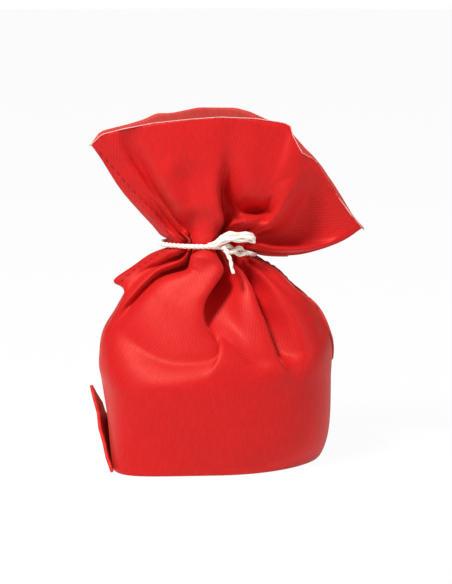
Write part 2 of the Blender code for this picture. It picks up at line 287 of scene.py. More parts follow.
# %% Fold lines
# Each has its place across the neck with its sink, then (across, up, sink) down from the tie, then up.
FOLD_LINES = {
    "left seam": ((-13.8, 0),
        [(-17.4, 67.2, 0), (-19.8, 66.1, 0), (-24.9, 62.5, 0), (-30.9, 57.8, -1), (-26.2, 56, 1),
         (-27.6, 52.8, 0), (-31.2, 47.7, 0), (-33.6, 43.5, 0), (-34.5, 38.5, 0), (-35.1, 33, 0),
         (-35.4, 26, 0)],
        [(-16.4, 69.6, 0), (-18, 71.7, 0), (-22.2, 76.2, 0), (-28.2, 83.1, 0), (-34.2, 92.7, 0),
         (-36.9, 96.9, 0)]),
    "flap edge": ((-10.2, 0),
        [(-11, 66.9, -2.2), (-13.2, 65.9, -2), (-16.2, 63.9, -0.8), (-21.3, 61.5, -0.8),
         (-24.9, 57.2, -0.5), (-27.4, 52.2, 0), (-30.6, 46.5, 0), (-33, 42, 0), (-34.2, 35, 0),
         (-34.8, 24, 0)],
        [(-11.5, 69.6, -2), (-14.7, 72, -1.2), (-19.2, 77.1, -1.4), (-27.6, 87, -1), (-34.2, 96.6, 0),
         (-34.8, 98.7, 0)]),
    "flap tuck": ((-7.8, 6),
        [(-9.3, 65.6, 4.5), (-13.2, 64.4, 3.5), (-16.2, 63.2, 2.8), (-21.3, 60.6, 2),
         (-24.9, 56.4, 1), (-27.7, 51.3, 0.3), (-31, 45.5, 0), (-32.7, 41, 0), (-33.6, 34, 0),
         (-34.2, 23.5, 0)],
        [(-12.6, 72, 1.5), (-16.8, 77.7, -0.5), (-25.4, 87.6, -1.5), (-32.4, 97.5, -0.5),
         (-33.6, 99.9, 0)]),
    "left roll": ((-7.1, 0.3),
        [(-8.6, 65.2, -1.4), (-9.8, 64.2, -1.2), (-13.2, 62.7, -0.6), (-16.8, 61.2, -0.3),
         (-22.8, 55.2, -0.3), (-26.1, 51.3, -0.2), (-29.7, 46.8, 0), (-32.1, 42.5, 0), (-33, 34, 0),
         (-33.3, 23, 0)],
        [(-8.4, 69.4, -1.8), (-10.8, 72, -1), (-14.7, 77.7, -2.2), (-22.6, 87.6, -2),
         (-29.6, 97.4, -1), (-31.5, 100.8, 0)]),
    "left valley": ((-6.5, 7),
        [(-8.1, 62.8, 8), (-9.8, 61.8, 8.5), (-12.9, 60.9, 8), (-16.6, 59.4, 7.5), (-19.8, 57, 7),
         (-22.7, 53.7, 6), (-25.5, 50.2, 4.6), (-28.2, 46.2, 2.2), (-30.6, 42.6, 0.5), (-31.8, 34, 0),
         (-32, 23, 0)],
        [(-8.6, 72.3, 6), (-12, 77.1, 8), (-19, 86.1, 8.5), (-25, 94.5, 5), (-28.8, 101.7, 0.3)]),
    "panel's upper edge": ((-5.8, 0),
        [(-6.6, 64.5, -1), (-6.9, 61.3, -1), (-9.9, 60.3, -0.2), (-15.3, 58.1, 0.3), (-18, 55.5, 0.3),
         (-23.4, 48.9, 0.2), (-28, 42.6, 0), (-29.3, 33, 0), (-29.5, 22, 0)],
        [(-7.8, 72.6, -1), (-9.6, 76.8, -2.4), (-14.6, 85.8, -3.6), (-19, 94.2, -2), (-22, 102.8, 0)]),
    "panel": ((-3, -0.5),
        [(-3.3, 64.8, -1.5), (-4.2, 61.8, -0.8), (-6.6, 57.6, -0.8), (-9.6, 51.6, -0.6),
         (-11.7, 45.6, -0.3), (-13.2, 38.1, 0), (-14.7, 22.8, 0)],
        [(-4.2, 73.2, -0.5), (-5.7, 78, -1.2), (-7.8, 86.5, -0.3), (-8.2, 94.5, -1.6),
         (-8.4, 105.3, 0)]),
    "panel's right edge": ((-0.3, -0.3),
        [(0.9, 65.4, -0.8), (2.4, 62.8, -1.4), (3.1, 61.5, -2), (2.3, 59.4, -1.9), (0.6, 57, -1.6),
         (-1, 54.6, -1.3), (-2.3, 52.2, -0.6), (-2.9, 49.2, -0.4), (-2.7, 46.2, -0.2), (-1.2, 42, 0),
         (0.9, 37.8, 0), (1.2, 22.8, 0)],
        [(1.5, 72, -0.8), (2.4, 73.8, -1.3), (1.2, 78.5, -1.6), (0.7, 83, -1.4), (1.8, 90, -0.6),
         (2.4, 105.8, 0)]),
    "pocket": ((0.6, 7),
        [(0.8, 64.8, 8), (1.6, 62.4, 9.5), (0.6, 60, 10.5), (-1.8, 57.2, 12), (-3.4, 54.6, 12.5),
         (-4.2, 52.2, 12), (-3.8, 49.5, 10.5), (-2.4, 46.5, 8), (0, 43.5, 4.5), (2.2, 40.5, 1.5),
         (3, 36, 0), (3, 22.8, 0)],
        [(2.1, 71.7, 6), (2.9, 73.8, 6.5), (2.3, 79.5, 5.5), (2.6, 84, 4.2), (4, 90, 2),
         (6, 105.8, 0)]),
    "pocket bank": ((1.5, 1),
        [(2.4, 64.8, 5), (3.4, 62.4, 7.5), (3.6, 60, 8.5), (3.2, 57, 9), (2.8, 54, 9), (2.8, 51, 8.5),
         (3.2, 48, 7), (4.2, 45, 4.5), (5.4, 41.4, 1.5), (6.2, 38, 0.2), (6.3, 22.8, 0)],
        [(3, 72, 5), (4.4, 74.7, 4.6), (5, 81.6, 2.8), (7, 90, 0.8), (9.4, 105.7, 0)]),
    "lobe": ((2.6, 0.2),
        [(3.6, 64.5, 1.4), (5.4, 62.1, 2), (7.2, 59.1, 2), (8.1, 56.1, 1.8), (8.7, 52.5, 1.2),
         (9.3, 48.6, 0.6), (10.8, 42, 0), (12.2, 36, 0), (12.9, 22.8, 0)],
        [(4.2, 70.8, 0), (6, 73.2, -1.5), (7.2, 75.8, 5.5), (8.1, 78.9, 2), (10.3, 89.1, -1.4),
         (12.6, 105.6, 0)]),
    "lobe's right edge": ((4, 0),
        [(4.8, 64.5, 0.6), (7.2, 62.3, 0.6), (9.3, 59.7, 0.4), (12, 54.6, 0), (12.9, 51.6, -0.3),
         (15.5, 45.3, -1), (17.7, 39, -1.2), (20.1, 32.7, -1), (22.5, 28.5, -0.5), (25.2, 24, 0)],
        [(6.6, 70.8, -0.5), (9.3, 73.8, -3.2), (10.5, 77, 5), (11.6, 79.8, 0), (14.5, 90.6, -3),
         (15.8, 104.9, 0)]),
    "long valley": ((4.8, 6),
        [(5.6, 64.2, 7), (7.6, 61.5, 8.5), (9, 58.8, 9.5), (10.4, 55.5, 11.5), (11.2, 52.5, 12.5),
         (12.4, 49.5, 12.5), (14.2, 45.5, 12), (15.6, 42, 10.5), (17.6, 38, 8.5), (19.8, 33.6, 6),
         (22.8, 29.6, 3), (26.4, 24, 0)],
        [(8.4, 70.5, 1), (12, 73.7, -2.8), (13.5, 76.7, 4), (14.9, 79.8, -0.8), (18, 90.6, -4),
         (18.8, 104.3, 0)]),
    "valley's bank": ((5.7, 2),
        [(7.2, 64, 3.5), (10.2, 61.5, 4), (12.6, 58.2, 5.5), (15, 54.6, 6), (16.8, 50.7, 6.5),
         (18.7, 46.8, 6.5), (21, 41, 5.5), (23.7, 34.5, 3.6), (26.7, 29.2, 1.2), (28.2, 23.5, 0)],
        [(9.9, 70.2, -1), (14.1, 73.2, -2), (16.2, 75.6, 1), (17.7, 79.2, -1.8), (21.3, 89.4, -4.2),
         (22.8, 100.5, -1)]),
    "right lobe": ((6.9, 0),
        [(8.9, 64.1, 0.8), (12.9, 61.2, 0.8), (16.8, 57.3, 0.6), (20.1, 53.1, 0.3), (22.8, 48.3, 0),
         (25.6, 41.5, 0), (28.2, 33, 0), (29.4, 23.4, 0)],
        [(11.4, 69.8, -1.5), (15.6, 72.3, -2.8), (20.6, 78.6, -4), (25, 86.4, -4), (29.4, 92.4, -0.8)]),
    "facet": ((7.7, 0.3),
        [(9, 64.4, 0.6), (13.4, 61.7, 0.6), (18.6, 57, 0.4), (22.4, 53, 0.2), (26.5, 48.3, 0),
         (30, 42, 0), (31.8, 33, 0), (32.2, 23.4, 0)],
        [(14.4, 70.2, 0.8), (19.8, 72, 2.6), (24.5, 75.4, 3.2), (30, 82, 2.6), (34.8, 85, 0.3)]),
    "right crease": ((8.4, 4.5),
        [(9.6, 64.6, 3.5), (11.7, 63.2, 2.8), (15.3, 60.2, 2.2), (18.6, 57.5, 1.9), (21.9, 54.8, 1.6),
         (24.9, 52.7, 1.3), (28.2, 50.6, 1), (32.5, 46.4, 0.3), (34.6, 39, 0), (34.8, 24, 0)],
        [(12.6, 68.6, 2), (16.8, 68, 2.5), (25.8, 67.5, 2), (34.8, 68.1, 1), (42.9, 73.2, 0)]),
    "right roll": ((9.4, 0),
        [(10.5, 65.2, -0.3), (13.2, 63.9, -0.5), (16.8, 61.8, -0.5), (20.4, 58.8, -0.4),
         (23.6, 55.8, -0.3), (26.9, 53.4, -0.1), (30.2, 50.8, 0), (33.6, 45.6, 0), (35.2, 38.5, 0),
         (35.4, 24, 0)],
        [(13.2, 66.6, -3), (17.4, 65.6, -3), (27.3, 65.7, -2), (36.3, 68, -0.8), (43.8, 72.4, 0)]),
    "right seam": ((10.3, 0),
        [(14.4, 63.8, 1), (18.3, 62.4, 1), (21.3, 60, 1), (25.2, 55.2, 1), (28.8, 53.1, 1.5),
         (31.8, 50.1, 2), (33.9, 46.2, 2.5), (36, 39, 3), (36.6, 33.6, 3.5), (36.2, 24, 3.5)],
        [(13.2, 64.2, 1), (22.8, 63.6, 1), (28.8, 64.5, 1), (39.3, 68.1, 0.5), (44.7, 72, 0)]),
}
# Lines that are tucks at the back too: how far they lean along the neck, and how far their valleys reach
# below the tie and above it (mm)
BACK_TUCKS = {"flap tuck": (1.2, 34, 30), "left valley": (-1.2, 44, 34), "pocket": (1.5, 30, 26),
              "long valley": (-1.2, 42, 34), "right crease": (0.6, 26, 28)}
print("fold lines:", len(FOLD_LINES))


# %% Smooth curves
def smooth_curve(places, steps=8):
    """Points along a smooth curve through the places, steps of them from one place to the next."""
    gap = np.linalg.norm(np.diff(places, axis=0), axis=1)[:, None] ** 0.5
    slope = np.diff(places, axis=0) / gap
    inner = slope[:-1] + slope[1:] - (places[2:] - places[:-2]) / (gap[:-1] + gap[1:])
    tangent = np.vstack([slope[:1], inner, slope[-1:]])
    t = np.linspace(0, 1, steps, endpoint=False)[None, :, None]
    start, end, gap = places[:-1, None], places[1:, None], gap[:, None]
    curve = ((2 * t ** 3 - 3 * t ** 2 + 1) * start + (t ** 3 - 2 * t ** 2 + t) * gap * tangent[:-1, None]
             + (3 * t ** 2 - 2 * t ** 3) * end + (t ** 3 - t ** 2) * gap * tangent[1:, None])
    return np.vstack([curve.reshape(-1, 3), places[-1:]])


def distance_along(curve):
    """How far along a curve each of its points is."""
    return np.concatenate([[0], np.cumsum(np.linalg.norm(np.diff(curve, axis=0), axis=1))])


def places_at(distances, curve, reached):
    """The places on a curve at given distances along it."""
    return np.stack([np.interp(distances, reached, curve[:, k]) for k in range(3)], axis=1)


# %% [markdown]
# ## The tied shape
#
# Every row of the cloth crosses all the fold lines. A smooth curve through the crossings is the row,
# and the columns lie at even steps along it, as woven yarns do. Each half of a row has to be 100 mm
# long, which is half the cloth, so the sinks of a row are scaled together until it is.

# %% One fold line
def line_places(name, marks, place_of, away):
    """A fold line's places at distances from the tie, without its sinks and with them."""
    neck_across, neck_sink = FOLD_LINES[name][0]
    at_side = name.endswith("seam")
    both = []
    for share in (0, 1):
        places = [at_neck(neck_across, neck_sink * share)]
        for across, up, sink in marks:
            places.append(seen_at(across, up, sink) if at_side else place_of(across, up, sink * share))
        both.append(smooth_curve(np.array(places)))
    reached = distance_along(both[1])
    return [places_at(away, curve, reached) for curve in both]


# %% One row
TIE_ROWS = 1                    # rows on each side of the tie that the twine presses together
HALF = COLUMNS // 2
MIDDLE_GAP = 0.6                # mm that a tuck keeps from the bag's middle, where the other side's are
LEAST_SINK, MOST_SINK = 0.6, 2.0        # limits of a row's scale
BACK_SINK = 7                   # mm, how deep the back's tucks are before their row is scaled


def even_half_row(plain, sunk):
    """HALF + 1 places at even steps along a row, with its sinks scaled to use half the cloth."""
    low, high = LEAST_SINK, MOST_SINK
    for _ in range(12):
        scale = (low + high) / 2
        places = plain + (sunk - plain) * scale
        places[1:-1, 1] = np.minimum(places[1:-1, 1], -MIDDLE_GAP)
        curve = smooth_curve(places)
        reached = distance_along(curve)
        low, high = (low, scale) if reached[-1] > CLOTH_ROUND / 2 else (scale, high)
    return places_at(np.linspace(0, reached[-1], HALF + 1), curve, reached), scale


def whole_row(plain, sunk, away, upwards):
    """COLUMNS places of one row: the front from left to right, then the back."""
    front, front_scale = even_half_row(plain, sunk)
    back_sunk = plain.copy()
    for name, (lean, below, above) in BACK_TUCKS.items():
        fade = max(0, 1 - (away / (above if upwards else below)) ** 2)
        back_sunk[list(FOLD_LINES).index(name)] += np.array((lean, BACK_SINK, 0)) * fade
    back, _ = even_half_row(plain, back_sunk)
    return np.vstack([front[:-1], back[:0:-1] * (1, -1, 1)]), front_scale


# %% The rows below and above the tie
def half_of_bag(place_of, part, upwards, row_count):
    """Rows away from the tie, one after another."""
    away = np.arange(row_count) * ROW_STEP
    lines = [line_places(name, line[part], place_of, away) for name, line in FOLD_LINES.items()]
    made = [whole_row(np.array([line[0][i] for line in lines]), np.array([line[1][i] for line in lines]),
                      away[i], upwards) for i in range(row_count)]
    print("above" if upwards else "below", "the tie, sinks scaled by:",
          [round(scale, 2) for _, scale in made])
    return [row for row, _ in made]


FOLDED_ROWS = 35                # rows below the tie that the fold lines shape
below = half_of_bag(on_body, 1, False, FOLDED_ROWS + 1)
above = half_of_bag(on_ruffle, 2, True, ROWS - ROWS_BELOW - TIE_ROWS)

# %% The tube's points by row and column
count = len(pouch_mesh.vertices)
columns, rows = np.empty(count, dtype=np.int32), np.empty(count, dtype=np.int32)
pouch_mesh.attributes["column"].data.foreach_get("value", columns)
pouch_mesh.attributes["row"].data.foreach_get("value", rows)
point_at = np.empty((ROWS, COLUMNS), dtype=int)
point_at[rows, columns] = np.arange(count)

straight = np.empty(count * 3)
pouch_mesh.vertices.foreach_get("co", straight)
straight = straight.reshape(-1, 3)
print("points:", count)

# %% The plain body and the tied shape
FADE_ROWS = 10                  # of the folded rows, how many change into the plain filled body
base_outline, _ = rounded_box(31.8, 24, 6, 1.9, math.radians(4))
base_outline = base_outline + (0.4, 0.5)
TIED_STEP = ROW_STEP * 0.8      # mm between the rows that the twine presses together
BASE_REACH = 28                 # mm of cloth over which the base's outline changes into the body's

tied = straight.copy()
for step in range(-TIE_ROWS, TIE_ROWS + 1):
    tied[point_at[ROWS_BELOW + step]] = below[0] + (0, 0, step * TIED_STEP)
for step, row in enumerate(above[1:], start=1):
    tied[point_at[ROWS_BELOW + TIE_ROWS + step]] = row + (0, 0, TIED_STEP)
top_plain_row = ROWS_BELOW - TIE_ROWS - FOLDED_ROWS
plain_height = below[-1][:, 2].mean()
side_power = np.interp(tube_outline[:, 0], (-25, 20), (0.5, 5))     # slim at the left, round at the right
for row in range(ROWS_BELOW - TIE_ROWS):
    step = ROWS_BELOW - TIE_ROWS - row
    share = (max(0.0, 1 - row * ROW_STEP / BASE_REACH) ** side_power)[:, None]
    outline = base_outline * share + tube_outline * (1 - share)
    plain = np.column_stack([outline, np.full(COLUMNS, row / top_plain_row * plain_height)])
    fade = min(max((step - FOLDED_ROWS + FADE_ROWS) / FADE_ROWS, 0), 1)
    folded = below[min(step, FOLDED_ROWS)] - (0, 0, TIED_STEP)
    tied[point_at[row]] = plain if step > FOLDED_ROWS else folded * (1 - fade) + plain * fade
print("plain body up to", round(plain_height, 1), "mm, its rows are",
      round(plain_height / top_plain_row, 2), "mm high")


# %% [markdown]
# ## The cut edge
#
# Above the tie the cloth spreads like a fan. Its cut edge follows two lines that were read from the
# photograph, one for the front half and one for the back, each point with the cloth that reaches it.
# The last rows below the edge bend to meet it, which gives the nick at the right. A fan that is cut off
# by a plane would be quicker, but its edge would be straight and the nick would be lost.

# %% The cut edge
# cloth round, across, up, depth (mm)
FRONT_EDGE = [
    (0, -36.8, 96.9, 0), (5, -33, 100.2, -2.5), (11.6, -26.7, 101.6, -4), (20.8, -17.7, 103.2, -5.5),
    (31.4, -7.2, 104.2, -6.5), (40.4, 1.8, 104.8, -7), (50.9, 12.3, 104.4, -7), (59.5, 20.7, 103.2, -6),
    (61.8, 22.5, 102.3, -6), (64.6, 23.1, 99.6, -7), (70.4, 25.8, 94.5, -7.5), (71.7, 27, 93.9, -6.5),
    (74.7, 29.7, 92.7, -4), (81.7, 33.3, 86.7, -3.5), (89.2, 37.8, 80.7, -2.5), (95, 41.4, 76.2, -1.5),
]
BACK_EDGE = [
    (100, 44.7, 72.3, 0), (105, 41.4, 76.2, 2.5), (112, 37.8, 82.2, 4), (117.5, 34.8, 86.7, 5),
    (123, 31.8, 91.2, 6), (128, 28.8, 95.1, 7), (137.5, 22.5, 102.3, 8), (144, 16.8, 105, 8.5),
    (150, 10.8, 107.7, 8.5), (155, 6.3, 108.9, 8.5), (161, 0.3, 108.9, 8.5), (166, -4.8, 108.9, 8),
    (170, -8.7, 108, 7.5), (174.5, -13.2, 107.1, 7), (178.5, -17.1, 107.1, 6.5), (182.5, -20.7, 105.3, 6),
    (187, -25.2, 103.8, 5), (192, -29.7, 102.6, 4), (196.5, -33.9, 101.4, 2.5), (200, -36.8, 96.9, 0),
]
edge_marks = np.array([(cloth, *seen_at(*place)) for cloth, *place in FRONT_EDGE + BACK_EDGE])
cloth_at_column = np.arange(COLUMNS) / COLUMNS * CLOTH_ROUND
cut_edge = np.stack([np.interp(cloth_at_column, edge_marks[:, 0], edge_marks[:, k]) for k in (1, 2, 3)],
                    axis=1)
print("cut edge:", np.ptp(cut_edge, axis=0).round(1), "mm")

EDGE_ROWS = 7                   # rows that bend to meet the cut edge
to_edge = cut_edge - tied[point_at[-1]]
for step in range(EDGE_ROWS):
    tied[point_at[-1 - step]] += to_edge * (1 - step / EDGE_ROWS) ** 2


# %% [markdown]
# ## Settling
#
# The shape so far is smooth but it isn't cloth yet. A cloth simulation lets it settle: its rest shape
# is the straight tube, so it knows how far it may stretch and how stiffly it bends, and a little
# pressure stands in for the filling. The neck is held fast, the folds firmly and the plain body hardly
# at all. Blender's cloth suits objects metres high, so the bag is simulated 20 times as large.

# %% How firmly each point is held
# A weight of 1 doesn't move at all. Below it, the pull goes with the weight's fourth power.
HOLD_TIED, HOLD_CUT_EDGE, HOLD_FRONT, HOLD_BACK, HOLD_BODY = 1.0, 0.97, 0.93, 0.8, 0.4

hold = np.zeros(count)
for row in range(ROWS):
    step = abs(row - ROWS_BELOW) - TIE_ROWS
    if step <= 0 or row == 0:
        hold[point_at[row]] = HOLD_TIED
    elif row == ROWS - 1:
        hold[point_at[row]] = HOLD_CUT_EDGE
    elif row > top_plain_row:
        fade = min((FOLDED_ROWS - step) / FADE_ROWS, 1) if row < ROWS_BELOW else 1
        hold[point_at[row, :HALF + 1]] = HOLD_FRONT * fade
        hold[point_at[row, HALF + 1:]] = HOLD_BACK * fade
    else:
        hold[point_at[row]] = HOLD_BODY * (1 - row / top_plain_row)
print("held points:", int((hold > 0).sum()), "of", count)

# %% The cloth simulation
SIM_SCALE = 20 * MM             # simulated metres for each mm
SIM_FRAMES = 30
FILLING_PRESSURE, RUFFLE_PRESSURE = 0.7, 0.1

pouch = bpy.data.objects.new("satin_pouch", pouch_mesh)
bpy.context.collection.objects.link(pouch)


def weight_group(name, weights):
    """A vertex group that holds one weight for each point."""
    group = pouch.vertex_groups.new(name=name)
    for value in np.unique(weights[weights > 0]):
        group.add(np.flatnonzero(weights == value).tolist(), float(value), "REPLACE")
    return name


def settle():
    """Lets the tied shape settle as cloth, and returns its points in mm."""
    pouch_mesh.vertices.foreach_set("co", (tied * SIM_SCALE).ravel())
    pouch.shape_key_add(name="tied")
    rest = pouch.shape_key_add(name="straight")
    rest.data.foreach_set("co", (straight * SIM_SCALE).ravel())

    modifier = pouch.modifiers.new("satin", "CLOTH")
    modifier.point_cache.frame_end = SIM_FRAMES
    satin = modifier.settings
    satin.rest_shape_key = rest
    satin.quality, satin.mass, satin.air_damping = 8, 0.15, 4
    satin.tension_stiffness = satin.compression_stiffness = 25
    satin.shear_stiffness, satin.bending_stiffness = 8, 6
    satin.tension_damping = satin.compression_damping = satin.shear_damping = 10
    satin.vertex_group_mass = weight_group("held", hold)
    satin.pin_stiffness = 10
    satin.use_pressure = True
    satin.uniform_pressure_force = FILLING_PRESSURE
    press = np.where(rows < ROWS_BELOW - TIE_ROWS, 1.0, RUFFLE_PRESSURE)
    satin.vertex_group_pressure = weight_group("pressed", press)
    satin.effector_weights.gravity = 0
    modifier.collision_settings.use_collision = False       # nothing else is there to touch
    modifier.collision_settings.use_self_collision = False  # it gives another result each run

    for step in range(1, SIM_FRAMES + 1):
        bpy.context.scene.frame_set(step)
    evaluated = pouch.evaluated_get(bpy.context.evaluated_depsgraph_get())
    result = np.empty(count * 3)
    evaluated.data.vertices.foreach_get("co", result)
    pouch.modifiers.remove(modifier)
    pouch.shape_key_clear()
    pouch.vertex_groups.clear()
    bpy.context.scene.frame_set(1)
    return result.reshape(-1, 3) / SIM_SCALE


shape = settle()
pouch_mesh.vertices.foreach_set("co", (shape * MM).ravel())
pouch_mesh.update()
print("tied bag:", shape.min(axis=0).round(1), shape.max(axis=0).round(1), "mm")


# %% [markdown]
# ## The base and the cloth's own map
#
# The bottom of the bag is the fold of the strip, spread flat by the filling. The tube's lowest ring is
# extruded inwards in a few steps and closed. The weave follows the cloth, so each corner of each face
# gets a place on the flat cloth, in mm. The last column meets the first at the left seam, and there
# the map goes on to 200 mm and doesn't jump back to 0.

# %% The base
BASE_STEPS = [(0.97, 0.0), (0.85, 0.0), (0.6, 0.3), (0.3, 0.5)]     # size of each ring, rise in mm
bm = bmesh.new()
bm.from_mesh(pouch_mesh)
row_of = bm.verts.layers.int["row"]
base_edges = [edge for edge in bm.edges if edge.is_boundary and edge.verts[0][row_of] == 0]
base_middle = Vector((*base_outline.mean(axis=0), 0)) * MM
size_before = 1.0
for size, rise in BASE_STEPS:
    made = bmesh.ops.extrude_edge_only(bm, edges=base_edges)["geom"]
    base_edges = [item for item in made if isinstance(item, bmesh.types.BMEdge)]
    ring = [item for item in made if isinstance(item, bmesh.types.BMVert)]
    grow = Matrix.Diagonal((size / size_before, size / size_before, 1))
    bmesh.ops.transform(bm, verts=ring, space=Matrix.Translation(-base_middle), matrix=grow.to_4x4())
    for vert in ring:
        vert.co.z = rise * MM
        vert[row_of] = -1
    size_before = size
bottom = bmesh.ops.edgeloop_fill(bm, edges=base_edges)["faces"][0]
bmesh.ops.recalc_face_normals(bm, faces=bm.faces)
if bottom.normal.z > 0:
    bmesh.ops.reverse_faces(bm, faces=bm.faces)

cloth_map = bm.loops.layers.uv.new("cloth")
column_of = bm.verts.layers.int["column"]
for face in bm.faces:
    face.smooth = True
    at_seam = {0, COLUMNS - 1} <= {vert[column_of] for vert in face.verts}
    on_base = any(vert[row_of] < 0 for vert in face.verts)
    for loop_here in face.loops:
        column = loop_here.vert[column_of]
        if on_base:
            loop_here[cloth_map].uv = loop_here.vert.co.xy / MM
        else:
            column = COLUMNS if at_seam and column == 0 else column
            loop_here[cloth_map].uv = (column / COLUMNS * CLOTH_ROUND, loop_here.vert[row_of] * ROW_STEP)
bm.to_mesh(pouch_mesh)
bm.free()
print("bag with its base:", len(pouch_mesh.polygons), "faces")

# %% The cloth's thickness
CLOTH_THICKNESS = 0.4 * MM
finer = pouch.modifiers.new("finer", "SUBSURF")
finer.levels = finer.render_levels = 1
wall = pouch.modifiers.new("wall", "SOLIDIFY")
wall.thickness, wall.offset = CLOTH_THICKNESS, -1
wall.material_offset, wall.material_offset_rim = 1, 2


# %% [markdown]
# ## Places on the cloth
#
# Stitches lie on the cloth wherever it has gone. The simulated points form a grid, so a place on the
# flat cloth is found by mixing its four neighbours, and the surface's direction there by crossing the
# two ways along the grid.

# %% A point on the tied cloth
def on_cloth(round_mm, up_mm, lift=0.0):
    """The place in metres of a point of the flat cloth, lifted off the outside by lift mm."""
    column, row = round_mm / CLOTH_ROUND * COLUMNS, (up_mm + CLOTH_BELOW) / ROW_STEP
    c, r = math.floor(column), min(math.floor(row), ROWS - 2)
    a, b = column - c, row - r
    here, right = shape[point_at[r, c % COLUMNS]], shape[point_at[r, (c + 1) % COLUMNS]]
    above, diagonal = shape[point_at[r + 1, c % COLUMNS]], shape[point_at[r + 1, (c + 1) % COLUMNS]]
    place = (here * (1 - a) + right * a) * (1 - b) + (above * (1 - a) + diagonal * a) * b
    outwards = np.cross(right - here + diagonal - above, above - here + diagonal - right)
    return Vector(place + outwards / np.linalg.norm(outwards) * lift) * MM


print("left end of the neck:", [round(v / MM, 1) for v in on_cloth(0, 0)], "mm")


# %% [markdown]
# ## Satin
#
# The cloth is a polyester satin with a dull backing. Its threads float over several others, which
# gives the soft streaky shine along one direction and a fine slanting rib. The rib is read from the
# cloth's own map, so it bends with the folds. Uneven tension in the yarn gives faint streaks, and loose
# fibre at the surface gives the pale bloom where the cloth turns away.

# %% Satin materials
RIB_PITCH = 0.8                 # mm between ribs: a little coarser than the real 0.7, so that it shows
RIB_SLANT = math.radians(32)
SLUB_LENGTH, SLUB_WIDTH = 3.0, 0.8   # mm, a thicker stretch of yarn


def woven_satin(name, face_hex, shade_hex, roughness, sheen):
    """Polyester satin, woven and piece-dyed: slanting rib, streaks along the yarn, a pale bloom."""
    material = bpy.data.materials.new(name)
    material.use_nodes = True
    shader = material.node_tree.nodes["Principled BSDF"]
    shader.inputs["Metallic"].default_value = 0
    shader.inputs["IOR"].default_value = 1.5
    shader.inputs["Specular Tint"].default_value = colour("#FF9C8A")
    shader.inputs["Sheen Weight"].default_value = sheen
    shader.inputs["Sheen Roughness"].default_value = 0.35
    shader.inputs["Sheen Tint"].default_value = colour("#FF7A60")

    uv = add_node(material, "ShaderNodeUVMap", {"uv_map": "cloth"}).outputs["UV"]
    slant = add_node(material, "ShaderNodeMapping", Vector=uv, Rotation=(0, 0, RIB_SLANT),
                     Scale=(1 / RIB_PITCH, 1 / RIB_PITCH, 1)).outputs["Vector"]
    rib = add_node(material, "ShaderNodeTexWave", {"bands_direction": "X"}, Vector=slant, Scale=0.314,
                   Distortion=0.25, Detail=1.0, Detail_Scale=2.5).outputs["Fac"]
    along = add_node(material, "ShaderNodeMapping", Vector=uv,
                     Scale=(1 / SLUB_WIDTH, 1 / SLUB_LENGTH, 1)).outputs["Vector"]
    slub = add_node(material, "ShaderNodeTexNoise", Vector=along, Scale=1.0, Detail=3.0).outputs["Fac"]
    broad = add_node(material, "ShaderNodeTexNoise", Vector=uv, Scale=0.05, Detail=2.0).outputs["Fac"]

    pattern = add_node(material, "ShaderNodeMath", {"operation": "MULTIPLY_ADD"}, i0=rib, i1=0.42, i2=slub)
    pattern = add_node(material, "ShaderNodeMath", {"operation": "MULTIPLY_ADD"}, i0=broad, i1=0.5,
                       i2=pattern.outputs["Value"])
    share = add_node(material, "ShaderNodeMapRange", Value=pattern.outputs["Value"], From_Min=0.45,
                     From_Max=1.55).outputs["Result"]
    tint = add_node(material, "ShaderNodeMix", {"data_type": "RGBA"}, i0=share, i6=colour(shade_hex),
                    i7=colour(face_hex)).outputs[2]
    gloss = add_node(material, "ShaderNodeMapRange", Value=pattern.outputs["Value"], From_Min=0.45,
                     From_Max=1.55, To_Min=roughness + 0.08, To_Max=roughness - 0.06).outputs["Result"]
    bump = add_node(material, "ShaderNodeBump", Height=pattern.outputs["Value"], Strength=0.35,
                    Distance=0.06 * MM).outputs["Normal"]
    links = material.node_tree.links
    links.new(tint, shader.inputs["Base Color"])
    links.new(gloss, shader.inputs["Roughness"])
    links.new(bump, shader.inputs["Normal"])
    return material


# %% The satin's outside, inside and cut edge
satin_face = woven_satin("satin_face", "#DA1E20", "#BC1619", roughness=0.5, sheen=0.42)
satin_back = woven_satin("satin_back", "#D8504A", "#BE3834", roughness=0.7, sheen=0.3)

raw_edge = bpy.data.materials.new("cut_satin_edge")     # cut polyester: the white cores of dyed yarn
raw_edge.use_nodes = True
raw_shader = raw_edge.node_tree.nodes["Principled BSDF"]
raw_shader.inputs["Roughness"].default_value = 0.85
raw_shader.inputs["Sheen Weight"].default_value = 0.4
edge_map = add_node(raw_edge, "ShaderNodeTexCoord").outputs["Object"]
fibres = add_node(raw_edge, "ShaderNodeTexNoise", Vector=edge_map, Scale=1 / (1.2 * MM), Detail=3.0)
edge_tint = add_node(raw_edge, "ShaderNodeMix", {"data_type": "RGBA"}, i0=fibres.outputs["Fac"],
                     i6=colour("#E0605A"), i7=colour("#FBCFC6")).outputs[2]
raw_edge.node_tree.links.new(edge_tint, raw_shader.inputs["Base Color"])

for material in (satin_face, satin_back, raw_edge):
    pouch_mesh.materials.append(material)
print("satin:", len(satin_face.node_tree.nodes), "nodes")


# %% [markdown]
# ## The folded corner
#
# The bag's flat bottom is made by folding its corners out into triangles. One of them lies up against
# the left side and shows from the front as a thin edge with a pointed tip. It is two layers of satin,
# stiff from the fold. A grid is drawn together at the top into a curved triangle, and Solidify gives it
# the two layers' thickness, which is simpler than folding the bag's own mesh.

# %% The corner on the left
CORNER_EDGE = (-29.8, -31.5, -32.6, -34, -34.6, -36, -37.2)     # mm across, from the floor to the tip
CORNER_HEIGHT, CORNER_HALF_WIDTH = 21.5, 21.5       # mm, the width along the floor
CORNER_STEPS = 12
CORNER_CURL = 1.2               # mm that the triangle's middle bends outwards at the floor
CORNER_GAP = 0.6                # mm up to its lower edge, so that its thickness clears the floor

